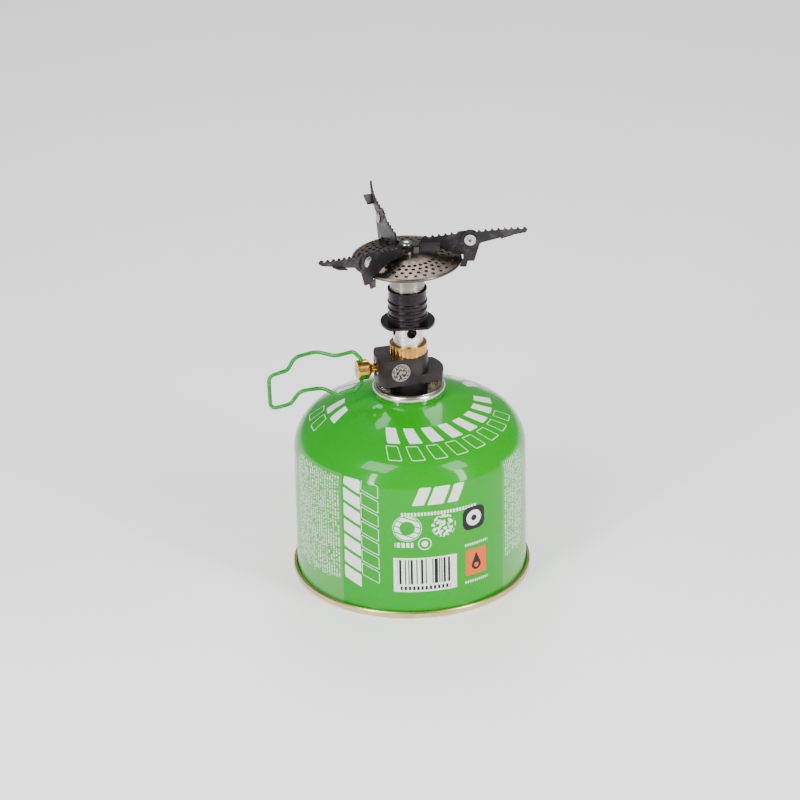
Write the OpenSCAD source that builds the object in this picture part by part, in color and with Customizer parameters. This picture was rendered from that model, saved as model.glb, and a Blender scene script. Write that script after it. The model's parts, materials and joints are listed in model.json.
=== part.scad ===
// Folding camping stove screwed on a gas canister.
// Origin: centre of the canister's base on the floor. +Z up, -X along the control spindle,
// -Y towards the milled face that carries the round mark.

/* [Canister] */
// Outer radius of the canister wall
can_r = 53.2; // [48:0.1:66]
// How far the base seam stands proud of the wall
seam_proud = 1.8; // [1:0.1:3]
// Height of the base seam
seam_h = 3.2; // [2.6:0.1:4.5]
// Height of the cylindrical wall, where the shoulder begins
wall_h = 61.4; // [45:0.1:90]
// Radius of the rounded shoulder
shoulder_r = 17.8; // [12:0.1:22]
// Radius of the dome above the shoulder
dome_r = 110; // [80:1:160]
// Sheet thickness of the canister
can_t = 0.6; // [0.4:0.05:1]
// Outer radius of the crimped valve cup
cup_r = 16.6; // [16:0.1:20]
// Outer radius of the canister's threaded collar
collar_r = 5.56; // [5.4:0.01:6.7]

/* [Valve block] */
// Radius of the bar that the valve block is milled from
block_r = 15.9; // [14:0.1:19.2]
// Height of the valve block
block_h = 13; // [12:0.1:16]
// Distance of each milled flat from the axis
block_flat = 8.5; // [7:0.1:10.2]
// Height of the low flange of the block
flange_h = 4.3; // [3:0.1:6]
// Radius of the round core that stands on the flange
core_r = 9; // [8.6:0.1:11]
// Height of the spindle axis over the block's underside
spindle_h = 6.9; // [6.5:0.1:7.5]
// Gap between the cup's rim and the block
block_gap = 2.7; // [1.5:0.1:4]

/* [Control spindle] */
// Radius of the spindle's stem
stem_r = 2.1; // [1.7:0.05:2.6]
// Radius of the brass knob
knob_r = 4.6; // [3.8:0.1:6]
// Distance of the wire's cross hole from the stove's axis
cross_x = 22.3; // [21.5:0.1:27]
// Thickness of the handle wire
wire_d = 1.8; // [1.4:0.1:2.2]

/* [Air tube and sleeve] */
// Outer radius of the air tube
tube_r = 6.8; // [6.4:0.1:7.2]
// Height of the fluted lock ring
ring_h = 4.8; // [3:0.1:6]
// Outer radius of the fluted lock ring
ring_r = 8.57; // [8:0.01:9]
// Height of the gap between lock ring and sleeve
air_gap = 9.6; // [9.2:0.1:14]
// Diameter of the air holes
air_hole_d = 4.8; // [3:0.1:5.2]
// Length of the sleeve
sleeve_h = 17.5; // [16.5:0.1:22]
// Radius of the sleeve's flange
sleeve_flange_r = 12.4; // [11:0.1:15]
// Turn of the sleeve, hinge and head about the axis
head_turn = -12; // [-30:1:30]

/* [Burner head] */
// Outer radius of the burner neck
neck_r = 7.9; // [7.7:0.1:9.5]
// Height of the burner rim over the hinge pin
rim_rise = 14; // [12:0.1:20]
// Outer radius of the burner plate's rolled rim
rim_r = 24.9; // [22:0.1:30]
// Rise of the plate's flat middle over the rim
plate_rise = 2.8; // [2:0.1:4]
// Radius of the plate's flat middle
plate_flat_r = 9.9; // [8:0.1:11]
// Holes in each ring of the burner plate
holes_per_ring = 32; // [20:1:40]
// Diameter of a burner hole
hole_d = 1.8; // [1:0.1:2]

/* [Pot arms] */
// Length from an arm's blade rivet to the blade's tip
blade_reach = 25.7; // [20:0.1:32]
// Turn of a blade's tip away from its rivet, about the stove's axis
tip_turn = -6.5; // [-12:0.5:-3]
// Thickness of the arm sheet
arm_t = 1; // [0.8:0.1:1.2]
// Slope of the arms' toothed edge in degrees
arm_slope = 8.4; // [4:0.1:10]
// Distance between teeth
tooth_pitch = 2.9; // [2:0.1:4]

/* [Hidden] */
$fn = 64;

slip = 0.05;       // radial clearance of a running fit
loose = 0.3;       // clearance between pieces that move past each other
big = 200;         // longer than any piece

// Canister levels
cup_t = 0.4;                               // sheet of the cup
curl_r = 1.65;                             // section radius of the cup's curled edge
bead_r = cup_r - curl_r;                   // centre line of the neck bead and the curl round it
neck_r1 = cup_r - 0.6;                     // where the dome ends and the neck begins
shoulder_a = 60;                           // how far round the shoulder goes before the dome takes over
shoulder_c = [can_r - shoulder_r, wall_h];
dome_c = shoulder_c + (shoulder_r - dome_r) * [cos(shoulder_a), sin(shoulder_a)];
neck_z = dome_c[1] + sqrt(pow(dome_r, 2) - pow(neck_r1 - dome_c[0], 2));
bead_z = neck_z + 2.9;                     // centre of the curl
cup_top = bead_z + curl_r;
pan_z = cup_top - 9.2;                     // floor of the cup
collar_top = cup_top - 1.6;
collar_bore = 2.4;
gasket_h = 1.3;                            // stem gasket
housing_h = 13;
stem_travel = 1.4;                         // how far the pin pushes the valve stem down
stem_top = collar_top - 2.6;

// Stove levels
block_z = cup_top + block_gap;
block_top = block_z + block_h;
spindle_z = block_z + spindle_h;
boss_r = collar_r + 3.6;                   // boss round the threaded socket
boss_z = pan_z + 1.3;
seal_r = 0.85;                             // section radius of the inlet seal
socket_top = collar_top + 2 * seal_r + 0.15;
pin_seat_h = 1.6;
gland_r = stem_r + 1.55;
needle_r = 1.2;
seat_x = 3.4;                              // where the needle's seat begins
stem_x = 6.7;                              // inner end of the spindle's stem
gland_x = block_r - 0.7;                   // outer end of the spindle gland
seal_x = block_r - 5.9;                    // inner end of the seal's recess
ring_top = block_top + ring_h;
sleeve_z = ring_top + air_gap;
sleeve_top = sleeve_z + sleeve_h;
hinge_z = sleeve_top;                      // hinge pin, level with the sleeve's mouth
hinge_r = 1;
neck_dip = 2.2;                            // how far the neck reaches below the hinge pin
tube_top = hinge_z - norm([neck_r, neck_dip]) - 0.5;
ear_x = [tube_r - 1.7, tube_r - 0.5];      // inner and outer face of each hinge ear
ear_w = 2.5;                               // half width of an ear
neck_bore = neck_r - 0.7;
mouth_r = neck_r + 0.4;                    // bore of the sleeve where it covers the neck
sleeve_r = mouth_r + 0.35;
spring_bore = tube_r + 1.25;               // bore of the sleeve round its spring
guide_h = 1.6;                             // sleeve's guide ring at its foot
seat_h = 0.8;
shoulder_z = sleeve_top - 4.2;             // ring inside the sleeve that the spring pushes on
sleeve_flat = sleeve_r + 0.55;             // distance of the sleeve flange's flats from the axis

// Burner levels
rim_z = hinge_z + rim_rise;
plate_z = rim_z + plate_rise;
sheet_t = 0.6;
roll_r = 0.75;                             // section radius of the rolled rim
hub_r = 1.3;                               // hub rivet's shank
washer_h = 1.2;
lug_gap = 0.1;
lug_z0 = plate_z + washer_h + lug_gap;     // underside of the lowest arm lug
lug_step = arm_t + lug_gap;
hub_head_z = lug_z0 + 3 * lug_step;

// Arm places. Arm 1 has the highest lug on the hub.
arm_azimuths = [-15.2, 97.4, 215.5];
arm_levels = [2, 0, 1];
tooth_gap_r = tooth_pitch * 0.41;          // leaves a narrow crest on each tooth
arm_offset = 2.2;                          // the plates stand beside the radius through the hub
rivet_x = rim_r + 3.7;
rivet_z = rim_z + 9.1;
rivet_r = 1.5;
rivet_head = 2.6;
tip_x = rivet_x + blade_reach;
edge_z = rivet_z - rivet_x * tan(arm_slope) + 3.9;
blade_y = arm_offset - slip - arm_t;       // clockwise face of the straight part of a blade
function arm_angle(k) = arm_azimuths[k - 1] - asin(arm_offset / rivet_x);
function edge(x) = edge_z + x * tan(arm_slope);

// Points along an arc in a plane, from angle a0 to a1
function arc(c, r, a0, a1, n) =
    [for (i = [0:n]) let (a = a0 + (a1 - a0) * i / n) c + r * [cos(a), sin(a)]];
function flip(points) = [for (i = [len(points) - 1:-1:0]) points[i]];

// Extrude a side view drawn as [x, z] across y, from y0 to y0 + w
module across(y0, w) {
    translate([0, y0 + w, 0]) rotate([90, 0, 0]) linear_extrude(w) children();
}

// A plain ring, from radius r0 to r1
module ring(r0, r1, h) {
    difference() {
        cylinder(r = r1, h = h);
        translate([0, 0, -1]) cylinder(r = r0, h = h + 2);
    }
}

// Helical spring: n turns of wire between two levels
module coil(r, wire, z0, z1, turns) {
    sides = 8;
    steps = turns * 20;
    rise = z1 - z0 - wire;
    points = [for (i = [0:steps]) let (a = 360 * turns * i / steps) for (j = [0:sides - 1])
        let (b = 360 * j / sides, q = r + wire / 2 * cos(b))
        [q * cos(a), q * sin(a), z0 + wire / 2 + rise * i / steps + wire / 2 * sin(b)]];
    walls = [for (i = [0:steps - 1]) for (j = [0:sides - 1])
        let (k = (j + 1) % sides) [i * sides + j, (i + 1) * sides + j, (i + 1) * sides + k, i * sides + k]];
    start = [for (j = [0:sides - 1]) j];
    end = [for (j = [sides - 1:-1:0]) steps * sides + j];
    polyhedron(points, concat(walls, [start, end]));
}

// ---- Canister ----

function can_profile(t) = concat(
    [[can_r - t, 1.1]],
    arc(shoulder_c, shoulder_r - t, 0, shoulder_a, 12),
    arc(dome_c, dome_r - t, shoulder_a, acos((neck_r1 - t - dome_c[0]) / (dome_r - t)), 8));

module canister_shell() {
    outside = can_profile(0);
    inside = can_profile(can_t);
    last = len(outside) - 1;
    color("limegreen") rotate_extrude() {
        polygon(concat(outside, flip(inside)));
        // short neck that ends in the bead
        polygon([inside[last], outside[last], [bead_r + 0.5, neck_z + 1.2], [bead_r + 0.5, bead_z],
                 [bead_r - 0.5, bead_z], [bead_r - 0.5, neck_z + 0.4]]);
        translate([bead_r, bead_z]) circle(0.8, $fn = 32);
    }
}

module canister_base() {
    rim = can_r + seam_proud;
    groove = slip;
    inner = can_r - can_t - groove;
    foot = inner - 1.4;            // inside of the seam
    press = 7;                     // how far the bottom is pressed upwards
    press_r = (pow(foot, 2) + pow(press, 2)) / (2 * press);
    c = [0, 1.6 + press - press_r];
    a = acos((foot + 0.3) / press_r);
    color("khaki") rotate_extrude() {
        difference() {
            union() {
                translate([foot, 0]) square([rim - foot - 0.8, seam_h]);
                translate([foot, 0.8]) square([rim - foot, seam_h - 1.6]);
                translate([rim - 0.8, 0.8]) circle(0.8, $fn = 32);
                translate([rim - 0.8, seam_h - 0.8]) circle(0.8, $fn = 32);
            }
            translate([inner, 1.1 - groove]) square([can_t + 2 * groove, seam_h]);
        }
        polygon(concat(arc(c, press_r, a, 90, 10), flip(arc(c, press_r - 0.8, a, 90, 10))));
    }
}

module valve_cup() {
    wall_r = bead_r - curl_r;
    color("silver") rotate_extrude() {
        // edge curled over the gasket and the bead
        translate([bead_r, bead_z]) difference() {
            circle(curl_r);
            circle(curl_r - cup_t);
            translate([-curl_r - 1, -curl_r - 1]) square([2 * curl_r + 2, curl_r]);
        }
        translate([wall_r, pan_z - cup_t]) square([cup_t, bead_z - pan_z + cup_t]);
        translate([collar_bore, pan_z - cup_t]) square([wall_r + cup_t - collar_bore, cup_t]);
        translate([collar_bore, pan_z - cup_t]) square([collar_r - collar_bore, collar_top - pan_z + cup_t]);
    }
}

module cup_gasket() {
    color("dimgray") rotate_extrude() translate([bead_r, bead_z]) difference() {
        circle(curl_r - cup_t - 0.03);
        circle(0.83);
        translate([-curl_r, -curl_r - 0.2]) square(2 * curl_r * [1, 0.5]);
    }
}

module valve_housing() {
    z = pan_z - cup_t - 0.02;
    color("whitesmoke") difference() {
        translate([0, 0, z - housing_h]) cylinder(r = 6.5, h = housing_h);
        translate([0, 0, z - housing_h + 1.5]) cylinder(r = 2.6, h = housing_h);
        translate([0, 0, z - gasket_h]) cylinder(r = 5, h = housing_h);
        translate([0, 0, z - housing_h - 1]) cylinder(r = 0.8, h = 3);
    }
}

module stem_gasket() {
    color("dimgray") translate([0, 0, pan_z - cup_t - gasket_h]) ring(1.5 + slip, 4.95, gasket_h - 0.04);
}

module valve_stem() {
    collar_z = pan_z - cup_t - gasket_h - slip - stem_travel;
    color("whitesmoke") {
        translate([0, 0, collar_z - 0.2]) cylinder(r = 1.5, h = stem_top - collar_z + 0.2);
        translate([0, 0, collar_z - 1.2]) cylinder(r = 2.4, h = 1.2);
    }
}

module stem_spring() {
    top = pan_z - cup_t - gasket_h - stem_travel - 1.3;
    bottom = pan_z - cup_t - housing_h + 1.5;
    color("silver") coil(1.9, 0.5, bottom, top - 0.02, 5);
}

// ---- Inlet and control valve ----

module inlet_seal() {
    color("dimgray") translate([0, 0, collar_top + seal_r + 0.02]) rotate_extrude()
        translate([4, 0]) circle(seal_r, $fn = 32);
}

module valve_block() {
    mark_x = -5.9;
    filter_top = socket_top + pin_seat_h + 1.3;
    reach = [seat_x + 1.3, spindle_z - filter_top + 0.3];
    color("dimgray") difference() {
        union() {
            intersection() {
                translate([0, 0, block_z]) union() {
                    cylinder(r = block_r, h = flange_h);
                    cylinder(r = core_r, h = block_h);
                    intersection() {
                        cylinder(r = block_r, h = block_h);
                        translate([-big, -big / 2, 0]) cube([big, big, block_h]);
                    }
                }
                translate([-big / 2, -block_flat, 0]) cube([big, 2 * block_flat, big]);
            }
            translate([0, 0, boss_z]) cylinder(r = min(boss_r, block_flat), h = block_z - boss_z + 1);
        }
        // socket for the canister's collar, seats for pin and filter
        translate([0, 0, boss_z - 1]) cylinder(r = collar_r + slip, h = socket_top - boss_z + 1);
        translate([0, 0, socket_top - 0.5]) cylinder(r = 2.9, h = pin_seat_h + 0.5);
        translate([0, 0, socket_top]) cylinder(r = 2.2, h = filter_top - socket_top);
        // gas way up to the needle
        translate([0, 0, filter_top - 0.3]) rotate([0, -atan2(reach[0], reach[1]), 0])
            cylinder(r = 0.7, h = norm(reach));
        // spindle bore, seal recess, needle chamber and seat
        translate([0, 0, spindle_z]) rotate([0, -90, 0]) {
            translate([0, 0, seal_x]) cylinder(r = gland_r + slip, h = big);
            translate([0, 0, stem_x - 0.1]) cylinder(r = stem_r + slip, h = big);
            translate([0, 0, seat_x]) cylinder(r = needle_r + 0.4, h = stem_x - seat_x + 0.5);
            cylinder(r = 0.45, h = seat_x + 1);
        }
        // way up to the jet, jet's thread, foot of the air tube
        translate([0, 0, spindle_z - 0.6]) cylinder(r = 0.8, h = big);
        translate([0, 0, block_top - 3.1]) cylinder(r = 2.5, h = big);
        translate([0, 0, block_top - 2.5]) ring(tube_r - 0.85, tube_r + 0.02, big);
        // round mark, sunk in the front face
        translate([mark_x, -block_flat + 0.12, spindle_z - 0.3]) rotate([90, 0, 0]) cylinder(r = 4.4, h = 5);
    }
}

module opening_pin() {
    color("gold") difference() {
        union() {
            translate([0, 0, socket_top - 0.4]) cylinder(r = 2.88, h = pin_seat_h + 0.36);
            translate([0, 0, stem_top + slip]) cylinder(r = 1.1, h = socket_top - stem_top);
        }
        translate([0, 0, stem_top - 1]) cylinder(r = 0.5, h = 20);
    }
}

module inlet_filter() {
    color("tan") translate([0, 0, socket_top + pin_seat_h]) cylinder(r = 2.18, h = 1);
}

module spindle_gland() {
    color("gold") translate([0, 0, spindle_z]) rotate([0, -90, 0]) translate([0, 0, gland_x - 3.4])
        ring(stem_r + slip, gland_r, 3.4);
}

module spindle_seal() {
    color("dimgray") translate([0, 0, spindle_z]) rotate([0, -90, 0]) translate([0, 0, seal_x + 0.8])
        rotate_extrude() translate([stem_r + 0.78, 0]) circle(0.7, $fn = 32);
}

module needle() {
    color("silver") translate([0, 0, spindle_z]) rotate([0, -90, 0]) {
        translate([0, 0, seat_x + 1]) cylinder(r = needle_r, h = stem_x - seat_x + 1.4);
        translate([0, 0, seat_x + 0.1]) cylinder(r1 = 0.4, r2 = needle_r, h = 0.9);
    }
}

module jet() {
    color("gold") difference() {
        union() {
            translate([0, 0, block_top - 3]) cylinder(r = 2.47, h = 3.6);
            translate([0, 0, block_top + 0.1]) cylinder(r = 3.2, h = 1.9, $fn = 6);
            translate([0, 0, block_top + 1.9]) cylinder(r = 1.3, h = 1.6);
        }
        translate([0, 0, block_top - 4]) cylinder(r = 1, h = 6.6);
        translate([0, 0, block_top]) cylinder(r = 0.25, h = 5);
    }
}

module lock_ring() {
    flutes = 24;
    color("gold") translate([0, 0, block_top]) difference() {
        ring(tube_r + 0.03, ring_r, ring_h);
        for (i = [0:flutes - 1]) rotate([0, 0, 360 * (i + 0.3) / flutes])
            translate([ring_r + 0.15, 0, -1]) cylinder(r = 0.42, h = ring_h + 2, $fn = 24);
    }
}

// ---- Air tube, hinge and locking sleeve ----

module air_tube() {
    hole_z = sleeve_z - 2.9;
    color("gainsboro") difference() {
        union() {
            translate([0, 0, block_top - 2.5 + 0.02]) ring(tube_r - 0.8, tube_r, tube_top - block_top + 2.48);
            rotate([0, 0, head_turn]) for (s = [-1, 1]) translate([s * (ear_x[0] + ear_x[1]) / 2, 0, 0]) {
                w = ear_x[1] - ear_x[0];
                translate([-w / 2, -ear_w, tube_top - 3]) cube([w, 2 * ear_w, hinge_z - tube_top + 3]);
                translate([-w / 2, 0, hinge_z]) rotate([0, 90, 0]) cylinder(r = ear_w, h = w);
            }
        }
        for (a = [0:90:270]) rotate([0, 0, a]) translate([0, 0, hole_z]) rotate([0, 90, 0])
            cylinder(r = air_hole_d / 2, h = 20);
        rotate([0, 0, head_turn]) translate([-20, 0, hinge_z]) rotate([0, 90, 0])
            cylinder(r = hinge_r + slip, h = 40);
    }
}

module spring_seat() {
    color("silver") translate([0, 0, sleeve_z + guide_h + 0.1]) ring(tube_r + 0.02, spring_bore - 0.1, seat_h);
}

module hinge_pin() {
    color("silver") rotate([0, 0, head_turn]) translate([-neck_r + 0.2, 0, hinge_z]) rotate([0, 90, 0])
        cylinder(r = hinge_r, h = 2 * neck_r - 0.4);
}

module sleeve_spring() {
    color("silver") coil(tube_r + 0.65, 0.5, sleeve_z + guide_h + 0.12 + seat_h, shoulder_z - 0.02, 4);
}

module locking_sleeve() {
    ribs = [4.6, 7.9, 11.2];       // heights of the grip ribs over the sleeve's foot
    color("black") translate([0, 0, sleeve_z]) difference() {
        union() {
            rotate([0, 0, head_turn]) intersection() {
                cylinder(r = sleeve_flange_r, h = 1.3);
                translate([-big / 2, -sleeve_flat, 0]) cube([big, 2 * sleeve_flat, big]);
            }
            cylinder(r = sleeve_r + 0.35, h = 2.6);
            cylinder(r = sleeve_r, h = sleeve_h);
            translate([0, 0, sleeve_h - 1]) cylinder(r = sleeve_r + 0.3, h = 1);
            for (z = ribs) translate([0, 0, z]) rotate_extrude() translate([sleeve_r - 0.5, 0])
                circle(0.95, $fn = 32);
        }
        translate([0, 0, -1]) cylinder(r = tube_r + slip, h = big);
        translate([0, 0, guide_h]) cylinder(r = spring_bore, h = shoulder_z - sleeve_z - guide_h);
        translate([0, 0, shoulder_z - sleeve_z]) cylinder(r = tube_r + loose, h = big);
        translate([0, 0, shoulder_z - sleeve_z + 0.8]) cylinder(r = mouth_r, h = big);
    }
}

// ---- Control spindle and wire handle ----

module control_spindle() {
    hole_r = wire_d / 2 + 0.25;
    face = cross_x + 2.1;          // outer end of the knob
    back = cross_x - 2.7;
    color("gold") translate([0, 0, spindle_z]) rotate([0, -90, 0]) difference() {
        union() {
            translate([0, 0, back]) cylinder(r = knob_r, h = face - back - 0.4);
            translate([0, 0, face - 0.4]) cylinder(r1 = knob_r, r2 = knob_r - 0.4, h = 0.4);
            translate([0, 0, back - 2]) cylinder(r1 = stem_r, r2 = knob_r, h = 2);
            translate([0, 0, stem_x]) cylinder(r = stem_r, h = back - stem_x);
        }
        // the needle's shank
        translate([0, 0, stem_x - 1]) cylinder(r = needle_r + slip, h = 3.5);
        // cross hole that holds the wire's ends, and an empty one beside it
        translate([0, 0, cross_x]) rotate([0, 90, 0]) cylinder(r = hole_r, h = 20, center = true);
        translate([0, 0, cross_x]) rotate([0, 90, 35]) cylinder(r = hole_r - 0.15, h = 20, center = true);
        translate([0, 0, back - 3.1]) ring(stem_r - 0.3, big, 0.5);
    }
}

// Bends of the handle: [distance outwards from the cross hole, height over the spindle, bend radius]
wire_bends = [[0, 2.4, 0], [0, 5.6, 1.6], [3.6, 9.7, 2.2], [12, 8.7, 7], [21, 12.3, 10], [30.8, 11, 6],
              [34.4, 5, 3], [43.3, 3.2, 3.4], [42.9, -13.3, 2.8], [33.4, -12, 3], [28.8, -6.2, 6],
              [18.4, -6.3, 9], [11.2, -11.2, 4], [2.8, -10, 3], [0, -6.2, 1.6], [0, -2.4, 0]];

// One straight piece between the bends i and i + 1, and the bend at i
module wire_piece(i) {
    function dir(j) = let (d = wire_bends[j + 1] - wire_bends[j], q = [d[0], d[1]]) q / norm(q);
    function point(j) = [wire_bends[j][0], wire_bends[j][1]];
    function turn(j) = let (a = dir(j - 1), b = dir(j)) atan2(a[0] * b[1] - a[1] * b[0], a * b);
    function trim(j) = j == 0 || j == len(wire_bends) - 1 ? 0 : wire_bends[j][2] * tan(abs(turn(j)) / 2);
    p = point(i) + trim(i) * dir(i);
    q = point(i + 1) - trim(i + 1) * dir(i);
    heading = atan2(dir(i)[1], dir(i)[0]);
    lap = 0.1;                     // each straight reaches a little way into the bend beside it
    translate(p) rotate([0, 90, heading]) translate([0, 0, i > 0 ? -lap : 0])
        cylinder(r = wire_d / 2, h = norm(q - p) + (i > 0 ? 2 : 1) * lap, $fn = 32);
    if (i > 0) {
        t = turn(i);
        s = sign(t);
        a = dir(i - 1);
        r = wire_bends[i][2];
        start = point(i) - trim(i) * a;
        centre = start + s * r * [-a[1], a[0]];
        from = atan2(start[1] - centre[1], start[0] - centre[0]);
        translate(centre) rotate([0, 0, s > 0 ? from : from + t]) rotate_extrude(angle = abs(t))
            translate([r, 0]) circle(wire_d / 2 - 0.01, $fn = 32);
    }
}

module wire_handle() {
    color("seagreen") translate([-cross_x, 0, spindle_z]) rotate([90, 0, 180])
        for (i = [0:len(wire_bends) - 2]) wire_piece(i);
}

// ---- Burner head ----

module burner_neck() {
    color("silver") rotate([0, 0, head_turn]) difference() {
        translate([0, 0, hinge_z - neck_dip]) ring(neck_bore, neck_r, rim_z - hinge_z + neck_dip - 3);
        translate([-20, 0, hinge_z]) rotate([0, 90, 0]) cylinder(r = hinge_r + slip, h = 40);
        // opening at the back that lets the neck fold over the tube's ears
        translate([-ear_x[1] - 0.5, 0, hinge_z - neck_dip - 1])
            cube([2 * ear_x[1] + 1, big, neck_dip + 1 + ear_w + 0.4]);
    }
}

module burner_bowl() {
    z = rim_z - 4.6;
    edge_r = rim_r - 2 * roll_r - 0.1;
    top = rim_z - 0.5;
    color("silver") rotate_extrude() polygon([
        [neck_r + 0.02, z - 1.4], [neck_r + 0.62, z - 1.4], [neck_r + 0.62, z - 0.2],
        [edge_r, top - sheet_t - 0.4], [edge_r, top - 0.4], [neck_r + 0.62, z + 0.5], [neck_r + 0.02, z + 0.5]]);
}

module burner_plate() {
    slope_r = rim_r - 2 * roll_r;
    top = rim_z + 0.45;
    rings = 4;
    first = plate_flat_r + 3.4;
    pitch = (slope_r - 1.9 - first) / (rings - 1);
    color("silver") difference() {
        union() {
            rotate_extrude() polygon([[0, plate_z - sheet_t], [0, plate_z], [plate_flat_r, plate_z],
                                      [slope_r, top], [slope_r + 0.7, top - 0.1],
                                      [slope_r + 0.7, top - sheet_t], [slope_r, top - sheet_t],
                                      [plate_flat_r, plate_z - sheet_t]]);
            translate([0, 0, rim_z]) rotate_extrude() translate([rim_r - roll_r, 0]) circle(roll_r, $fn = 32);
        }
        for (k = [0:rings - 1]) for (i = [0:holes_per_ring - 1])
            rotate([0, 0, 360 * (i + (k % 2) / 2) / holes_per_ring])
                translate([first + k * pitch, 0, rim_z - 2]) cylinder(r = hole_d / 2, h = 6, $fn = 16);
        translate([0, 0, rim_z - 2]) cylinder(r = hub_r + slip, h = 10);
    }
}

module hub_rivet() {
    color("silver") {
        translate([0, 0, plate_z - sheet_t - 1]) cylinder(r = hub_r, h = hub_head_z - plate_z + sheet_t + 1.4);
        translate([0, 0, plate_z - sheet_t - 1]) cylinder(r = 2.4, h = 0.95);
        translate([0, 0, hub_head_z + 0.05]) intersection() {
            translate([0, 0, -2]) sphere(3.3);
            cylinder(r = 2.6, h = 5);
        }
    }
}

module hub_washer() {
    color("silver") translate([0, 0, plate_z + 0.02]) ring(hub_r + slip, 3.2, washer_h);
}

// ---- Pot arms ----
// Each is drawn with its hub at the origin and its plate along +x, then turned to its place.

module tooth_gaps(x0, x1) {
    count = floor((x1 - x0) / tooth_pitch);
    for (i = [0:count]) {
        x = x0 + i * tooth_pitch;
        translate([x, edge(x) + 0.1]) circle(tooth_gap_r, $fn = 24);
    }
}

module arm_plate(k) {
    lug_z = lug_z0 + arm_levels[k - 1] * lug_step;
    foot_z = lug_z0 + 0.05;
    hook_r = rim_r + 0.4;          // inside of the notch that clears the rolled rim
    color("dimgray") rotate([0, 0, arm_angle(k)]) difference() {
        union() {
            across(arm_offset, arm_t) difference() {
                union() {
                    polygon([[5.6, foot_z], [6.4, edge(6.4) - 1], [8, edge(8)], [rivet_x - 1, edge(rivet_x - 1)],
                             [rivet_x + 4.2, rivet_z - 2.6], [rivet_x + 1.7, rim_z - 1.9],
                             [rivet_x - 1.2, rim_z - 1.9], [rivet_x - 1.9, rim_z - 4.8],
                             [rim_r - 1.1, rim_z - 4.8], [rim_r - 1.3, rim_z - 1.2], [hook_r, rim_z - 1.2],
                             [hook_r, rim_z + 1.3], [rim_r - 3, rim_z + 1.3], [rim_r - 6, foot_z - 1.2],
                             [15, foot_z]]);
                    translate([rivet_x, rivet_z]) circle(4.1);
                }
                tooth_gaps(10, rivet_x - 5.5);
            }
            // lug that turns on the hub rivet
            translate([0, 0, lug_z]) {
                cylinder(r = 3.3, h = arm_t);
                translate([0, -1.6, 0]) cube([5.6, arm_offset + 1.6 + arm_t, arm_t]);
                translate([5, arm_offset, 0]) cube([3, arm_t, arm_t]);
            }
            // wing lanced out of the plate beside the hub, sloping down and outwards
            translate([5.6, 0, foot_z]) rotate([90, 0, 90]) linear_extrude(9.4)
                polygon([[arm_offset + 0.4, 1.9], [arm_offset + 0.4, 3], [arm_offset - 0.1, 3],
                         [-0.8, -0.1], [-0.3, -0.5]]);
            // flap that rides on the rim
            across(arm_offset - 2.4, 3) polygon([[rim_r - 5.3, foot_z - 0.5], [rim_r - 5.3, foot_z + 0.3],
                                                 [rim_r - 0.5, rim_z + 2.3], [rim_r - 0.5, rim_z + 1.5]]);
        }
        translate([0, 0, rim_z]) cylinder(r = hub_r + slip, h = 20);
        translate([rivet_x, arm_offset - 1, rivet_z]) rotate([-90, 0, 0]) cylinder(r = rivet_r + 0.02, h = 3);
    }
}

module arm_blade(k) {
    bend_x = rivet_x + 3;
    reach = tip_x - bend_x;
    tip_y = tip_x * tan(tip_turn + asin(arm_offset / rivet_x));
    sag = blade_y + arm_t / 2 - tip_y;
    bend_r = (pow(reach, 2) + pow(sag, 2)) / (2 * sag);
    bend_c = [bend_x, blade_y + arm_t / 2 - bend_r];
    bend_a = asin((reach + 2) / bend_r);
    low = [rivet_x + 13.5, rivet_z + 1.3];          // where the blade's lower edge turns up to the tip
    tip_low = [tip_x - 0.8, edge(tip_x) - 2.5];
    rise = (tip_low[1] - low[1]) / (tip_low[0] - low[0]);
    tab_w = 5.6;
    color("dimgray") rotate([0, 0, arm_angle(k)]) difference() {
        union() {
            intersection() {
                across(-20, 30) difference() {
                    union() {
                        translate([rivet_x, rivet_z]) circle(4.1);
                        polygon([[rivet_x - 0.5, edge(rivet_x - 0.5)], [tip_x - 1, edge(tip_x - 1)],
                                 [tip_x, edge(tip_x) - 1.2], tip_low, low, [rivet_x + 5.3, rivet_z - 1.4],
                                 [rivet_x + 1, rivet_z - 3.9]]);
                    }
                    tooth_gaps(rivet_x + 2.4, tip_x - 1);
                }
                // plan of the blade: straight, then an even curve to the tip
                translate([0, 0, rim_z]) linear_extrude(40) polygon(concat(
                    [[rivet_x - 6, blade_y], [rivet_x - 6, blade_y + arm_t]],
                    arc(bend_c, bend_r + arm_t / 2, 90, 90 - bend_a, 12),
                    flip(arc(bend_c, bend_r - arm_t / 2, 90, 90 - bend_a, 12))));
            }
            // small tab bent sideways from the lower edge
            across(blade_y - 1, 3.8) polygon([low + [0.2, -0.5], low + [0.2, 0.35],
                                              low + [0.2 + tab_w, tab_w * rise + 0.35],
                                              low + [0.2 + tab_w, tab_w * rise - 0.5]]);
        }
        translate([rivet_x, blade_y - 1, rivet_z]) rotate([-90, 0, 0]) cylinder(r = rivet_r + slip, h = 3);
    }
}

module arm_rivet(k) {
    color("silver") rotate([0, 0, arm_angle(k)]) translate([rivet_x, blade_y, rivet_z]) rotate([-90, 0, 0])
        difference() {
            union() {
                translate([0, 0, -0.5]) cylinder(r = rivet_r, h = 2 * arm_t + 1.2);
                translate([0, 0, -0.7 - slip]) cylinder(r = rivet_head, h = 0.7);
                translate([0, 0, 2 * arm_t + slip + 0.02]) cylinder(r = rivet_head, h = 0.45);
                translate([0, 0, 2 * arm_t + slip + 0.46]) cylinder(r1 = rivet_head, r2 = 1.2, h = 0.5);
            }
            translate([0, 0, -1]) cylinder(r = 0.9, h = 1.4);
        }
}

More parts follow.
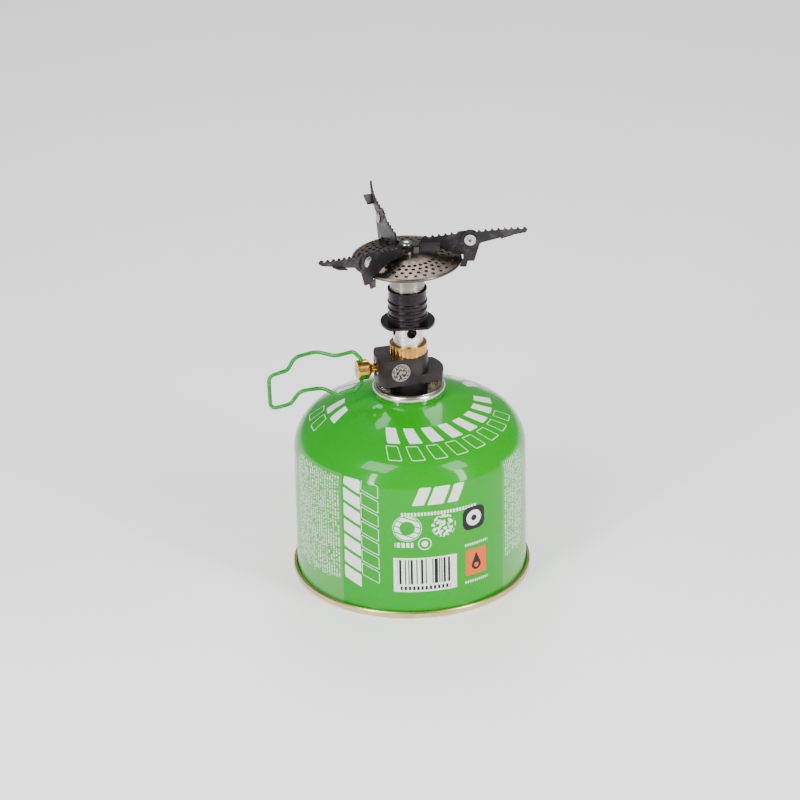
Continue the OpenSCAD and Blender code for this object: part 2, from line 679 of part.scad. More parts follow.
module arm_1_plate() { arm_plate(1); }
module arm_2_plate() { arm_plate(2); }
module arm_3_plate() { arm_plate(3); }
module arm_1_blade() { arm_blade(1); }
module arm_2_blade() { arm_blade(2); }
module arm_3_blade() { arm_blade(3); }
module arm_1_rivet() { arm_rivet(1); }
module arm_2_rivet() { arm_rivet(2); }
module arm_3_rivet() { arm_rivet(3); }

canister_shell();
canister_base();
valve_cup();
cup_gasket();
valve_housing();
stem_gasket();
valve_stem();
stem_spring();
inlet_seal();
valve_block();
opening_pin();
inlet_filter();
spindle_gland();
spindle_seal();
needle();
jet();
lock_ring();
air_tube();
spring_seat();
hinge_pin();
sleeve_spring();
locking_sleeve();
control_spindle();
wire_handle();
burner_neck();
burner_bowl();
burner_plate();
hub_rivet();
hub_washer();
arm_1_plate();
arm_1_blade();
arm_1_rivet();
arm_2_plate();
arm_2_blade();
arm_2_rivet();
arm_3_plate();
arm_3_blade();
arm_3_rivet();
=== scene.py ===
import json
import math

import bmesh
import bpy
from mathutils import Matrix, Vector


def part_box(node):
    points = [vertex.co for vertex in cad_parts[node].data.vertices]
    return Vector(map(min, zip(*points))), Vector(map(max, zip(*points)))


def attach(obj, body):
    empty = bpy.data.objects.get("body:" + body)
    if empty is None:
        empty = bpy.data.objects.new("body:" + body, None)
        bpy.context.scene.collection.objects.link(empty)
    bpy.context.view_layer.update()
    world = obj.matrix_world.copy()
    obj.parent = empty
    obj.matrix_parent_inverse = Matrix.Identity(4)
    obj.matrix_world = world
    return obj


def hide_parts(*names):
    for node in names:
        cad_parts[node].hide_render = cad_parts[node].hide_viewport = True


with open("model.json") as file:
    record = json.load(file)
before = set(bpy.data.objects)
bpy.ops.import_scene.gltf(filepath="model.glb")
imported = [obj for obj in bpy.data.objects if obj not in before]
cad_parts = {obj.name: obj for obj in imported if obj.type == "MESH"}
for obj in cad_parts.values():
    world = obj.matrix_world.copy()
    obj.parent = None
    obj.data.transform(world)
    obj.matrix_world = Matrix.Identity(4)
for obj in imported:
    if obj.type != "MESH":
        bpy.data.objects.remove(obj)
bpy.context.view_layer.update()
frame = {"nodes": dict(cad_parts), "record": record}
MM = 0.001


# ---- Camera, table top and studio lights ----
# A long lens looks down on the stove. Soft boxes hang high round it and two tall strips stand low
# beside it, over a pale table top that glows a little.

view_azimuth, view_pitch, view_roll = (math.radians(angle) for angle in (-16, 26.29, -1.01))
view_distance, view_height = 1.5788, 0.8636

camera = bpy.data.objects.new("camera", bpy.data.cameras.new("camera"))
bpy.context.scene.collection.objects.link(camera)
camera.data.sensor_width = 36
camera.data.lens = 173.5
camera.data.shift_x = -0.0114
camera.matrix_world = (
    Matrix.Rotation(view_azimuth, 4, "Z")
    @ Matrix.Translation((0, -view_distance, view_height))
    @ Matrix.Rotation(math.pi / 2 - view_pitch, 4, "X")
    @ Matrix.Rotation(view_roll, 4, "Z"))
bpy.context.scene.camera = camera


def soft_box(name, azimuth, elevation, distance, width, height, power):
    """A flat lamp that faces the stove's middle."""
    lamp = bpy.data.lights.new(name, "AREA")
    lamp.shape = "RECTANGLE"
    lamp.size = width
    lamp.size_y = height
    lamp.energy = power
    box = bpy.data.objects.new(name, lamp)
    bpy.context.scene.collection.objects.link(box)
    a, e = math.radians(azimuth), math.radians(elevation)
    away = Vector((math.cos(a) * math.cos(e), math.sin(a) * math.cos(e), math.sin(e)))
    box.location = Vector((0, 0, 0.1)) + away * distance
    box.rotation_euler = away.to_track_quat("Z", "Y").to_euler()


soft_box("key_light", azimuth=-148, elevation=50, distance=0.9, width=0.4, height=0.4, power=5.5)
soft_box("fill_light", azimuth=-52, elevation=42, distance=1, width=0.3, height=0.4, power=4.5)
soft_box("back_light", azimuth=75, elevation=55, distance=1, width=0.6, height=0.4, power=6)
soft_box("left_strip", azimuth=-143, elevation=14, distance=0.8, width=0.08, height=0.45, power=4)
soft_box("right_strip", azimuth=-56, elevation=14, distance=0.8, width=0.1, height=0.45, power=4)

world = bpy.data.worlds.new("studio")
bpy.context.scene.world = world
world.use_nodes = True
world.node_tree.nodes["Background"].inputs["Color"].default_value = (0.95, 0.97, 1, 1)
world.node_tree.nodes["Background"].inputs["Strength"].default_value = 0.3


class Signal:
    """What a shader node gives out. Sums and products of signals and numbers add Math nodes;
    a mask is 0 or 1, and | joins two masks."""

    def __init__(self, tree, socket):
        self.tree = tree
        self.socket = socket

    def node(self, kind, sockets, out=0, **settings):
        """Another node: its settings first, then the values or links of its sockets."""
        made = self.tree.nodes.new(kind)
        for name, value in settings.items():
            setattr(made, name, value)
        for name, value in sockets.items():
            if isinstance(value, Signal):
                self.tree.links.new(value.socket, made.inputs[name])
            else:
                made.inputs[name].default_value = value
        return Signal(self.tree, made.outputs[out])

    def math(self, operation, *values):
        sockets = dict(enumerate((self, *values)))
        return self.node("ShaderNodeMath", sockets, operation=operation)

    def __add__(self, other):
        return self.math("ADD", other)

    def __sub__(self, other):
        return self.math("SUBTRACT", other)

    def __rsub__(self, other):
        return self.math("MULTIPLY", -1).math("ADD", other)

    def __mul__(self, other):
        return self.math("MULTIPLY", other)

    def __truediv__(self, other):
        return self.math("DIVIDE", other)

    def __lt__(self, other):
        return self.math("LESS_THAN", other)

    def __gt__(self, other):
        return self.math("GREATER_THAN", other)

    def __abs__(self):
        return self.math("ABSOLUTE")

    def __or__(self, other):
        return self.math("MAXIMUM", other)

    __radd__ = __add__

    def xyz(self):
        """The three parts of a vector."""
        return [self.node("ShaderNodeSeparateXYZ", {0: self}, out=axis) for axis in range(3)]

    def vector(self, y, z):
        return self.node("ShaderNodeCombineXYZ", {0: self, 1: y, 2: z})

    def noise(self, scale, detail=3, rough=0.5):
        sockets = {"Vector": self, "Scale": scale, "Detail": detail, "Roughness": rough}
        return self.node("ShaderNodeTexNoise", sockets)

    def ramp(self, low, high, start, end):
        """Goes evenly from start to end while the signal goes from low to high."""
        sockets = {"Value": self, "From Min": low, "From Max": high, "To Min": start, "To Max": end}
        return self.node("ShaderNodeMapRange", sockets)

    def between(self, shade, other):
        """A colour: shade where the signal is 0, other where it is 1."""
        return self.node("ShaderNodeMix", {0: self, 6: shade, 7: other}, out=2, data_type="RGBA")

    def bump(self, depth):
        """A surface raised by the signal, depth in metres."""
        return self.node("ShaderNodeBump", {"Height": self, "Distance": depth})


def tone(red, green, blue):
    """A colour from its screen values, 0 to 255."""
    return (*[(value / 255) ** 2.2 for value in (red, green, blue)], 1)


def new_material(name, **sockets):
    """A material with plain numbers on its shader, its shader, and the Object coordinates."""
    material = bpy.data.materials.new(name)
    material.use_nodes = True
    tree = material.node_tree
    shader = tree.nodes["Principled BSDF"]
    for socket, value in sockets.items():
        shader.inputs[socket.replace("_", " ")].default_value = value
    start = Signal(tree, tree.nodes.new("ShaderNodeTexCoord").outputs["Object"])
    return material, shader, start


def feed(shader, **signals):
    for socket, signal in signals.items():
        signal.tree.links.new(signal.socket, shader.inputs[socket.replace("_", " ")])


table_width = 4
table_mesh = bmesh.new()
bmesh.ops.create_grid(table_mesh, x_segments=1, y_segments=1, size=table_width / 2)
table_top = bpy.data.objects.new("table_top", bpy.data.meshes.new("table_top"))
table_mesh.to_mesh(table_top.data)
table_mesh.free()
bpy.context.scene.collection.objects.link(table_top)
table_paint, table_shader, spot = new_material("table_paint", Base_Color=tone(250, 250, 248),
                                               Emission_Color=tone(255, 255, 255), Emission_Strength=0.35)
feed(table_shader, Roughness=spot.noise(12).ramp(0.3, 0.7, 0.55, 0.7))
table_top.data.materials.append(table_paint)


# ---- Gas canister ----
# A deep drawn tinplate can with a domed shoulder and a short neck, printed twice round in gloss
# lacquer: green, with white columns of slanted bars, round marks, a bar panel and fine lines.

can_r, rim_proud, can_sheet = 53.2, 1.8, 0.3
wall_top, shoulder_r, dome_r, shoulder_turn = 61.35, 17.8, 110, 60
neck_r, neck_top = 15.9, 89.6
can_steps = 224


def arc(centre, radius, start, end, steps):
    """Points along an arc, angles in degrees."""
    angles = [math.radians(start + (end - start) * i / steps) for i in range(steps + 1)]
    return [(centre[0] + radius * math.cos(a), centre[1] + radius * math.sin(a)) for a in angles]


def piece(name, mesh, sharp=35):
    """A new object from a bmesh, smooth except where it turns by more than sharp degrees."""
    data = bpy.data.meshes.new(name)
    mesh.to_mesh(data)
    mesh.free()
    data.shade_smooth()
    data.set_sharp_from_angle(angle=math.radians(sharp))
    made = bpy.data.objects.new(name, data)
    bpy.context.scene.collection.objects.link(made)
    return made


def turned(name, outline, steps=160):
    """A closed outline of (radius, height) points in mm, spun round the stove's axis."""
    mesh = bmesh.new()
    points = [mesh.verts.new((r * MM, 0, z * MM)) for r, z in outline]
    pairs = zip(points, points[1:] + points[:1])
    edges = [mesh.edges.new(pair) for pair in pairs if max(point.co.x for point in pair) > 0]
    bmesh.ops.spin(mesh, geom=points + edges, cent=(0, 0, 0), axis=(0, 0, 1), dvec=(0, 0, 0),
                   angle=2 * math.pi, steps=steps, use_merge=True)
    bmesh.ops.remove_doubles(mesh, verts=mesh.verts, dist=1e-7)
    bmesh.ops.recalc_face_normals(mesh, faces=mesh.faces)
    return piece(name, mesh)


bodies = frame["record"]["behaviour"]["bodies"]
body_of = {node: body for body, nodes in bodies.items() for node in nodes}


def stands_for(made, node, material):
    """The piece shows in place of a CAD node and moves with that node's body."""
    made.data.materials.clear()
    made.data.materials.append(material)
    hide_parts(node)
    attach(made, body_of[node])


def lacquer():
    """Printed gloss lacquer, with painted light that leaves one side a little deeper green. Label places are
    (along, up): mm round the wall and mm of height.
    """
    material, shader, spot = new_material("can_lacquer", Specular_IOR_Level=0.1, Coat_Roughness=0.05,
                                          Coat_IOR=1.4)
    x, y, z = spot.xyz()
    front = math.radians(-100)
    ahead = x * math.cos(front) + y * math.sin(front)
    aside = y * math.cos(front) - x * math.sin(front)
    turn = aside.math("ARCTAN2", ahead)
    half_turn = (turn / math.pi + 0.5).math("FRACT") - 0.5      # the label is printed twice round
    along = half_turn * (math.pi * can_r)
    degrees = turn * math.degrees(1)
    up = z / MM
    radius = (x * x + y * y).math("SQRT") / MM

    def block(across, level, width, height, corner):
        """Signed distance to a block with round corners, over any two coordinates."""
        dx = (abs(across) - (width / 2 - corner)).math("MAXIMUM", 0)
        dy = (abs(level) - (height / 2 - corner)).math("MAXIMUM", 0)
        return (dx * dx + dy * dy).math("SQRT") - corner

    def plate(across, level, width, height, corner):
        """A mask of such a block at a place on the label."""
        return block(along - across, up - level, width, height, corner) < 0

    def distance(across, level):
        """Distance from a place on the label."""
        dx, dy = along - across, up - level
        return (dx * dx + dy * dy).math("SQRT")

    def cell(value, pitch):
        """Place within a repeating step, from the step's middle."""
        return (value / pitch).math("FRACT") * pitch - pitch / 2

    def step(value, pitch):
        return (value / pitch).math("FLOOR")

    def fine_lines(pitch, across, level, width, height):
        """Columns of small broken marks."""
        line = abs(cell(along, pitch)) < pitch * 0.24
        word = (step(along, pitch) * 7.31).vector(up * 1.1, 0).noise(1, detail=2) > 0.47
        ragged = step(along, pitch).vector(0, 3.7).noise(0.9) * 9
        body = abs(along - across) < width / 2
        tall = (up < level + height / 2) * (up > level - height / 2 - 4 + ragged)
        return line * word * body * tall

    # Two columns up the wall: slanted solid bars, and slanted outlined bars beside them
    slant, hairline = 0.42, 0.14
    solid_pitch, outline_pitch = 7.9, 7.2
    rise = up + along * slant
    column = block(along + 33.6, cell(rise, solid_pitch), 8.6, 6.2, 0.5) < 0
    ink = column * (rise > 0) * (rise < 7 * solid_pitch)
    outline = abs(block(along + 24.7, cell(rise, outline_pitch), 8.2, 5.8, 0.5)) < hairline
    ink |= outline * (rise > outline_pitch) * (rise < 8 * outline_pitch)
    # Three big slanted bars over a row of small marks
    for across, width in ((-0.7, 5.4), (7.2, 7.4), (15.3, 5)):
        ink |= block(along - across - (up - 61.3) * slant, up - 61.3, width, 8.6, 0.5) < 0
    ink |= plate(7.8, 52.6, 36, 1.7, 0.1) * (abs(cell(along, 1.5)) < 0.5)
    # Round marks
    from_ring, from_dot = distance(-7.5, 45.6), distance(0.4, 37.5)
    ring = abs(from_ring - 4.7) < 1.2
    ink |= ring * (abs(cell(degrees + up * 3, 9)) < 3.6)
    ink |= abs(from_ring - 6.5) < 0.12
    ink |= (distance(9.2, 45.8) < 5.7) * (along.vector(up, 0).noise(0.62, 2) > 0.5)
    ink |= abs(from_dot - 2.9) < 0.22
    ink |= from_dot < 1.5
    ink |= plate(-9, 37, 8.4, 2.5, 0.2) * (abs(cell(along, 2.1)) < 0.72)
    # Bar panel
    ink |= plate(0.6, 21.7, 29.2, 17.4, 0.1)
    # Fine print at both sides, and a short row of marks over and under the orange square
    ink |= fine_lines(1.55, -56.5, 40, 33, 53) * 0.72
    ink |= fine_lines(1.55, 52, 43, 17, 48) * 0.72
    for level in (33.2, 14.2):
        ink |= plate(25.5, level, 12.5, 1.3, 0.1) * (abs(cell(along, 1.2)) < 0.4) * 0.85
    ink = ink * (up < wall_top + 6)
    # Dome: bows of slanted solid bars, each with a bow of outlined bars outside it
    solid_step, outline_step, outline_lag = 15.4, 13.2, 4      # degrees round the dome
    for middle, bars in ((34, 4), (-86, 1), (-148, 2), (140, 2)):
        inside = abs(degrees - middle) < bars * solid_step
        sector = cell(degrees - middle, solid_step) * (34 * math.radians(1))
        solid = block(sector - (radius - 33.6) * slant, radius - 33.6, 5.4, 8.2, 0.5) < 0
        ink |= solid * inside * (up > 74)
        inside = abs(degrees - middle + outline_lag) < bars * outline_step
        sector = cell(degrees - middle + outline_lag, outline_step) * (42 * math.radians(1))
        thin = abs(block(sector - (radius - 42.4) * slant, radius - 42.4, 5.6, 6.6, 0.5)) < hairline
        ink |= thin * inside * (up > 72)

    # Plain lacquer with painted light and shade: a little deeper green on one side and yellower on the
    # other, as light falls across the can; paler under the fine print
    print_white = tone(226, 232, 226)
    green = (aside / MM).ramp(-45, 50, 0, 1).between(tone(2, 142, 24), tone(26, 148, 12))
    pale = ((abs(along + 56.5) < 17.5) | (abs(along - 53) < 11)) * (up < 68)
    green = (pale * 0.1).between(green, tone(200, 225, 170))
    print_wear = spot.noise(900, 2).ramp(0.25, 0.5, 0.9, 1)
    shade = (ink * print_wear).between(green, print_white)
    # Black print over the white: the panel's stripes and row of marks, the badge, the drop
    stripes = (step(along, 0.52) * 3.17).vector(0, 0).noise(1, 0) > 0.51
    black = stripes * plate(0.6, 23.2, 25.4, 12.6, 0.1)
    black |= plate(0.6, 14.9, 23, 1.9, 0.1) * (abs(cell(along, 1.9)) < 0.55)
    badge, badge_hole = (24.2, 46.4), 3.9
    from_badge = distance(*badge)
    black |= plate(*badge, 11.6, 11.6, 3.4) * (from_badge > badge_hole)
    black |= from_badge < 1.5
    shade = (from_badge < badge_hole).between(shade, print_white)
    warning = 25.3      # the orange square's middle, and the drop's
    shade = plate(warning, 23.9, 11, 13, 0.2).between(shade, tone(228, 88, 6))
    drop = plate(warning, 22.2, 5, 5, 2.5)
    drop |= (abs(along - warning) < (28.6 - up) * 0.42) * (up > 22.6)
    black |= drop * (distance(warning, 22) > 1.2)
    shade = black.between(shade, tone(10, 10, 11))
    # Light wear, and print that stands a little proud of the lacquer
    scuff = spot.noise(260, 6, 0.75).ramp(0.66, 0.8, 0, 1)
    rough = spot.noise(70, 3).ramp(0.3, 0.7, 0.2, 0.3) + scuff * 0.25
    ripple = spot.noise(210, 1) + (ink | black) * 0.5
    feed(shader, Base_Color=shade, Roughness=rough, Normal=ripple.bump(0.00002))
    feed(shader, Coat_Weight=0.6 - scuff * 0.4)
    return material


shoulder = (can_r - shoulder_r, wall_top)
dome_turn = math.radians(shoulder_turn)
dome = (shoulder[0] + (shoulder_r - dome_r) * math.cos(dome_turn),
        shoulder[1] + (shoulder_r - dome_r) * math.sin(dome_turn))


def can_side(inset):
    """The can's wall, shoulder, dome and neck, a distance in from its outer face."""
    end = math.degrees(math.acos((neck_r - inset - dome[0]) / (dome_r - inset)))
    return ([(can_r - inset, 1.4), (can_r - inset, 20), (can_r - inset, 42)]
            + arc(shoulder, shoulder_r - inset, 0, shoulder_turn, 22)
            + arc(dome, dome_r - inset, shoulder_turn, end, 16)[1:]
            + [(neck_r - inset - 0.25, neck_top - 0.6), (neck_r - inset - 0.4, neck_top + 0.4)])


can_body = turned("canister_body", can_side(0) + can_side(can_sheet)[::-1], steps=can_steps)
stands_for(can_body, "canister_shell", lacquer())


# ---- Canister base ----
# A pressed tinplate bottom, pale gold lacquered, domed inwards and double seamed to the wall.

def gold_tinplate():
    material, shader, spot = new_material("gold_tinplate", Metallic=1, Specular_IOR_Level=0.5)
    drawn = spot.noise(60, 4)
    spots = spot.noise(420, 5, 0.7).ramp(0.6, 0.78, 0, 1)
    shade = drawn.ramp(0.3, 0.7, 0, 1).between(tone(216, 200, 150), tone(188, 168, 118))
    feed(shader, Base_Color=(spots * 0.6).between(shade, tone(120, 104, 80)),
         Roughness=drawn.ramp(0.3, 0.7, 0.22, 0.36) + spots * 0.2,
         Normal=spot.noise(340, 2).bump(0.00003))
    return material


rim_r = can_r + rim_proud
seam_round = 0.9
press_rise, press_edge = 7.2, 51
press_r = (press_edge ** 2 + press_rise ** 2) / (2 * press_rise)
press_turn = math.degrees(math.asin(press_edge / press_r))
press_centre = (0, 1.2 + press_rise - press_r)
base_outline = (
    arc(press_centre, press_r, 90, 90 - press_turn, 12)
    + [(press_edge + 0.25, 0.75)] + arc((can_r - 1.1, seam_round), seam_round, 190, 270, 5)
    + arc((rim_r - seam_round, seam_round), seam_round, 270, 360, 6)
    + arc((rim_r - seam_round, 2.3), seam_round, 0, 90, 6)
    + [(can_r + 0.5, 3.15), (can_r + 0.06, 2.75), (can_r + 0.06, 1.3), (can_r - 0.5, 1.3),
       (can_r - 0.7, 2.2), (can_r - 1.6, 2.2)]
    + arc(press_centre, press_r + 0.8, 90 - press_turn, 90, 12))
can_base = turned("canister_base_pressing", base_outline, steps=can_steps)
stands_for(can_base, "canister_base", gold_tinplate())


# ---- Valve cup ----
# The standard one inch cup: tinplate, curled over a rubber gasket and the can's neck, and
# crimped. Its collar in the middle carries the thread that the stove screws on.

def cup_tinplate():
    material, shader, spot = new_material("cup_tinplate", Metallic=1)
    x, y, z = spot.xyz()
    ring = ((x * x + y * y).math("SQRT") * 9000).vector(z * 9000, 0).noise(1, 2)
    shade = spot.noise(130).ramp(0.35, 0.7, 0, 1).between(tone(226, 222, 212), tone(194, 186, 172))
    feed(shader, Base_Color=shade, Roughness=ring.ramp(0.3, 0.7, 0.16, 0.3), Normal=ring.bump(0.000008))
    return material


cup_low, cup_high = (corner.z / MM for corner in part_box("valve_cup"))
curl_r, curl_mid, cup_sheet = 1.65, 14.95, 0.4
curl_z = cup_high - curl_r
pan_z = cup_low + cup_sheet
collar_r, collar_bore, collar_z = 5.5, 2.4, 91.2
cup_outside = (
    [(16.1, curl_z - 1.9), (16.45, curl_z - 1.6), (16.6, curl_z - 1.1)]
    + arc((curl_mid, curl_z), curl_r, 0, 180, 16)
    + [(13.3, pan_z + 1.2)] + arc((12.3, pan_z + 1), 1, 0, -90, 6)
    + arc((6.6, pan_z + 1), 1, -90, -180, 6)
    + [(collar_r, pan_z + 2)])
thread_pitch = 0.907
thread = []      # separate rings in place of the helix
for i in range(6):
    foot = pan_z + 2.2 + i * thread_pitch
    thread += [(collar_r, foot), (collar_r - 0.42, foot + 0.35), (collar_r - 0.42, foot + 0.5)]
cup_inside = (
    [(collar_r, collar_z - 0.3), (collar_r - 0.3, collar_z), (collar_bore + 0.3, collar_z),
     (collar_bore, collar_z - 0.3), (collar_bore, cup_low), (12.6, cup_low), (13, pan_z + 0.4),
     (13.7, pan_z + 1.2), (13.7, curl_z)]
    + arc((curl_mid, curl_z), curl_r - cup_sheet, 180, 0, 12) + [(16.2, curl_z - 1.2)])
cup = turned("cup_pressing", cup_outside + thread + cup_inside)
stands_for(cup, "valve_cup", cup_tinplate())


# ---- Valve and seals in the canister ----
# A white moulded housing under the cup holds the sprung valve stem and its rubber gasket. The
# seals and springs up in the stove are of the same rubber and wire.

def plain_rubber():
    material, shader, spot = new_material("nitrile_rubber", IOR=1.5)
    dust = spot.noise(500, 4)
    feed(shader, Base_Color=dust.ramp(0.3, 0.8, 0, 1).between(tone(26, 26, 27), tone(46, 45, 44)),
         Roughness=dust.ramp(0.3, 0.7, 0.55, 0.75), Normal=spot.noise(2500, 2).bump(0.00001))
    return material


def white_moulding():
    material, shader, spot = new_material("white_moulding", IOR=1.48)
    flow = spot.noise(300, 3)
    feed(shader, Base_Color=flow.ramp(0.3, 0.7, 0, 1).between(tone(232, 230, 222), tone(216, 212, 202)),
         Roughness=flow.ramp(0.3, 0.7, 0.38, 0.5), Normal=spot.noise(1800, 2).bump(0.000006))
    return material


def drawn_wire():
    material, shader, spot = new_material("drawn_wire", Metallic=1)
    line = spot.noise(1500, 3)
    feed(shader, Base_Color=line.ramp(0.3, 0.7, 0, 1).between(tone(176, 174, 170), tone(140, 137, 132)),
         Roughness=line.ramp(0.3, 0.7, 0.2, 0.36), Normal=line.bump(0.000006))
    return material


def finish(material, *nodes):
    """CAD nodes that keep their shape get a better material."""
    for node in nodes:
        mesh = frame["nodes"][node].data
        mesh.materials.clear()
        mesh.materials.append(material)


rubber = plain_rubber()
spring_wire = drawn_wire()
finish(rubber, "cup_gasket", "stem_gasket", "inlet_seal", "spindle_seal")
finish(white_moulding(), "valve_housing", "valve_stem")
finish(spring_wire, "stem_spring", "sleeve_spring")


# ---- Valve block ----
# Turned from aluminium bar, milled to two flats and a step, blasted and graphite anodised.
# A round mottled mark is engraved in the front flat.

def eased(name, node, width, sharp=32):
    """A copy of a CAD node, its edges broken by a round of that width in mm, or left if it is 0."""
    mesh = bmesh.new()
    mesh.from_mesh(frame["nodes"][node].data)
    bmesh.ops.remove_doubles(mesh, verts=mesh.verts, dist=2e-6)
    bmesh.ops.dissolve_degenerate(mesh, edges=mesh.edges, dist=1e-6)
    bmesh.ops.dissolve_limit(mesh, angle_limit=math.radians(0.5), verts=mesh.verts, edges=mesh.edges)
    made = piece(name, mesh, sharp)
    if width:
        bevel = made.modifiers.new("eased_edges", "BEVEL")
        bevel.width = width * MM
        bevel.segments = 2
        bevel.limit_method = "ANGLE"
        bevel.angle_limit = math.radians(38)
        bevel.harden_normals = True
    return made


def graphite_anodising(mark_x, mark_z, mark_r, face_y):
    material, shader, spot = new_material("graphite_anodising", Metallic=0.6)
    x, y, z = spot.xyz()
    blast = spot.noise(3800, 2)
    cloud = spot.noise(130, 4)
    shade = cloud.ramp(0.3, 0.7, 0, 1).between(tone(54, 47, 48), tone(36, 31, 33))
    dx, dz = x / MM - mark_x, z / MM - mark_z
    reach = (dx * dx + dz * dz).math("SQRT")
    ring = abs(reach - mark_r + 0.3) < 0.22
    engraved = (x * 1.6).vector(0, z).noise(760, 1) > 0.49
    mark = (ring | engraved * (reach < mark_r - 0.5)) * (y < face_y + 0.0006)
    shade = (mark * 0.55).between(shade, tone(186, 176, 168))
    feed(shader, Base_Color=shade, Roughness=cloud.ramp(0.3, 0.7, 0.34, 0.46),
         Normal=(blast - mark * 0.8).bump(0.00001))
    return material


front_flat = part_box("valve_block")[0].y
graphite = graphite_anodising(mark_x=-5.9, mark_z=102.1, mark_r=4.4, face_y=front_flat)
stands_for(eased("block_machined", "valve_block", 0.3), "valve_block", graphite)


# ---- Brass parts ----
# Knob and spindle, gland, jet, opening pin and the fluted lock ring are turned from brass bar. The
# inlet filter is of sintered bronze.

def turned_brass(name, axis, shade, deep):
    """Brass with fine tool marks round a lathe axis, given by its index."""
    material, shader, spot = new_material(name, Metallic=1)
    along = spot.xyz()[axis]
    tool = (along * 12000).vector(0, 0).noise(1, 3)
    stain = spot.noise(170, 4)
    feed(shader, Base_Color=stain.ramp(0.35, 0.7, 0, 1).between(shade, deep),
         Roughness=tool.ramp(0.3, 0.7, 0.13, 0.27) + stain.ramp(0.5, 0.8, 0, 0.14),
         Normal=tool.bump(0.000015))
    return material


ring_brass = turned_brass("ring_brass", 2, tone(214, 168, 96), tone(168, 118, 58))
knob_brass = turned_brass("knob_brass", 0, tone(212, 174, 88), tone(166, 126, 52))
stands_for(eased("knob_and_spindle", "control_spindle", 0.18), "control_spindle", knob_brass)
stands_for(eased("fluted_lock_ring", "lock_ring", 0.12), "lock_ring", ring_brass)
stands_for(eased("jet_turned", "jet", 0.1), "jet", ring_brass)
stands_for(eased("opening_pin_turned", "opening_pin", 0.08), "opening_pin", ring_brass)
finish(knob_brass, "spindle_gland")


def sintered_bronze():
    material, shader, spot = new_material("sintered_bronze", Metallic=1)
    grain = spot.node("ShaderNodeTexVoronoi", {"Vector": spot, "Scale": 5200})
    feed(shader, Base_Color=grain.ramp(0, 0.6, 0, 1).between(tone(178, 140, 96), tone(110, 78, 48)),
         Roughness=grain.ramp(0, 0.6, 0.4, 0.7), Normal=grain.bump(0.00003))
    return material


finish(sintered_bronze(), "inlet_filter")


# ---- Wire handle ----
# One length of spring wire bent into a loop with a waist, dipped in green enamel, its two ends
# hooked into the knob's cross hole.

def green_enamel():
    material, shader, spot = new_material("green_enamel", Specular_IOR_Level=0.2, Coat_Roughness=0.05)
    flow = spot.noise(150, 3)
    worn = spot.noise(700, 5, 0.7).ramp(0.68, 0.78, 0, 1)
    shade = flow.ramp(0.3, 0.7, 0, 1).between(tone(4, 140, 36), tone(1, 112, 26))
    feed(shader, Base_Color=(worn * 0.5).between(shade, tone(96, 120, 96)),
         Roughness=flow.ramp(0.3, 0.7, 0.2, 0.34), Normal=flow.bump(0.00004), Coat_Weight=0.45 - worn * 0.45)
    return material


stands_for(eased("bent_wire", "wire_handle", 0, sharp=60), "wire_handle", green_enamel())


# ---- Air tube and hinge ----
# A drawn and polished aluminium tube with four air holes; its two ears carry the hinge pin.

def polished_aluminium():
    material, shader, spot = new_material("polished_aluminium", Metallic=1)
    x, y, z = spot.xyz()
    turning = (z * 9000).vector(x * 40, y * 40).noise(1, 2)
    feed(shader, Base_Color=turning.ramp(0.3, 0.7, 0, 1).between(tone(228, 227, 224), tone(204, 202, 198)),
         Roughness=turning.ramp(0.3, 0.7, 0.14, 0.24), Normal=turning.bump(0.00009))
    return material


def satin_steel():
    material, shader, spot = new_material("satin_steel", Metallic=1)
    rub = spot.noise(300, 3)
    feed(shader, Base_Color=rub.ramp(0.3, 0.7, 0, 1).between(tone(196, 193, 188), tone(160, 156, 150)),
         Roughness=rub.ramp(0.3, 0.7, 0.16, 0.28), Normal=rub.bump(0.00001))
    return material


steel = satin_steel()
stands_for(eased("air_tube_drawn", "air_tube", 0.12), "air_tube", polished_aluminium())
stands_for(eased("hinge_pin_turned", "hinge_pin", 0.15), "hinge_pin", steel)
stands_for(eased("spindle_needle", "needle", 0.06), "needle", steel)
finish(steel, "spring_seat")


# ---- Locking sleeve ----
# Aluminium, turned with three grip ribs and a finger flange with two flats, gloss black anodised.

def black_anodising():
    material, shader, spot = new_material("black_anodising", Metallic=0.5, Specular_IOR_Level=0.4)
    tool = (spot.xyz()[2] * 9000).vector(0, 0).noise(1, 2)
    wear = spot.noise(420, 5, 0.7).ramp(0.62, 0.8, 0, 1)
    feed(shader, Base_Color=wear.between(tone(30, 23, 26), tone(76, 66, 70)),
         Roughness=tool.ramp(0.3, 0.7, 0.18, 0.3), Normal=tool.bump(0.00009))
    return material


stands_for(eased("sleeve_turned", "locking_sleeve", 0.2), "locking_sleeve", black_anodising())


# ---- Burner head ----
# Neck, bowl and perforated plate are made of stainless sheet; the plate's rim is rolled over the
# bowl. Use has tinted it brown and grey towards the middle.

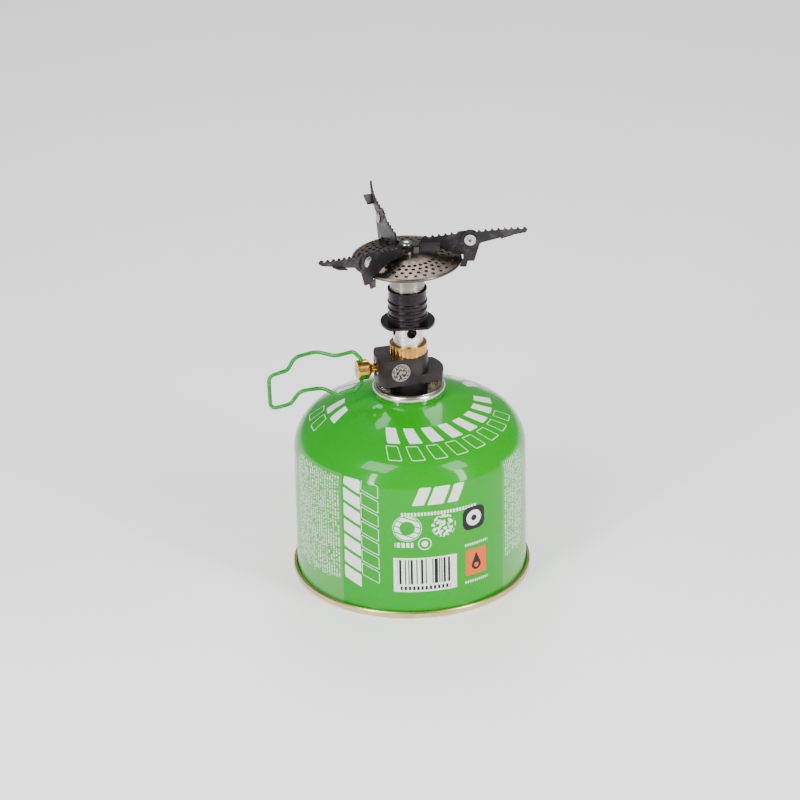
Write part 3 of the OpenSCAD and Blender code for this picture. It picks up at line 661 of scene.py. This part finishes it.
def burner_steel():
    material, shader, spot = new_material("burner_steel", Metallic=1)
    x, y, z = spot.xyz()
    radius = (x * x + y * y).math("SQRT") / MM
    spun = (radius * 7).vector(z * 7000, 0).noise(1, 3)
    cloud = spot.noise(150, 4)
    heat = radius.ramp(5, 22, 1, 0) * cloud.ramp(0.3, 0.7, 0.35, 1)
    shade = cloud.ramp(0.3, 0.7, 0, 1).between(tone(118, 110, 100), tone(80, 73, 66))
    feed(shader, Base_Color=(heat * 0.5).between(shade, tone(88, 74, 62)),
         Roughness=spun.ramp(0.3, 0.7, 0.24, 0.38) + heat * 0.12, Normal=spun.bump(0.00001))
    return material


def drawn_steel():
    material, shader, spot = new_material("drawn_steel", Metallic=1)
    x, y, z = spot.xyz()
    drawing = (z * 8000).vector(x * 40, y * 40).noise(1, 2)
    feed(shader, Base_Color=drawing.ramp(0.3, 0.7, 0, 1).between(tone(160, 156, 148), tone(116, 112, 104)),
         Roughness=drawing.ramp(0.3, 0.7, 0.1, 0.2), Normal=drawing.bump(0.0001))
    return material


head_steel = burner_steel()
stands_for(eased("burner_plate_pressing", "burner_plate", 0, sharp=28), "burner_plate", head_steel)
stands_for(eased("burner_bowl_pressing", "burner_bowl", 0.15), "burner_bowl", head_steel)
stands_for(eased("burner_neck_tube", "burner_neck", 0.12), "burner_neck", drawn_steel())
stands_for(eased("hub_rivet_headed", "hub_rivet", 0.1), "hub_rivet", steel)
stands_for(eased("hub_washer_pressed", "hub_washer", 0.15), "hub_washer", steel)


# ---- Pot arms ----
# Three arms of blackened steel strip, each a plate on the hub rivet and a curved blade riveted
# to it, with teeth punched along the top edge.

def blackened_steel():
    material, shader, spot = new_material("blackened_steel", Metallic=0.55)
    cloud = spot.noise(170, 5, 0.65)
    fine = spot.noise(2600, 3)
    rubbed = cloud.ramp(0.52, 0.72, 0, 1)
    shade = rubbed.between(tone(40, 35, 38), tone(78, 71, 74))
    feed(shader, Base_Color=shade, Roughness=fine.ramp(0.3, 0.7, 0.36, 0.5) - rubbed * 0.1,
         Normal=fine.bump(0.00001))
    return material


arm_steel = blackened_steel()
for arm in ("arm_1", "arm_2", "arm_3"):
    stands_for(eased(arm + "_strip", arm + "_plate", 0.14), arm + "_plate", arm_steel)
    stands_for(eased(arm + "_toothed_blade", arm + "_blade", 0.14), arm + "_blade", arm_steel)
    stands_for(eased(arm + "_rivet_headed", arm + "_rivet", 0.12), arm + "_rivet", steel)
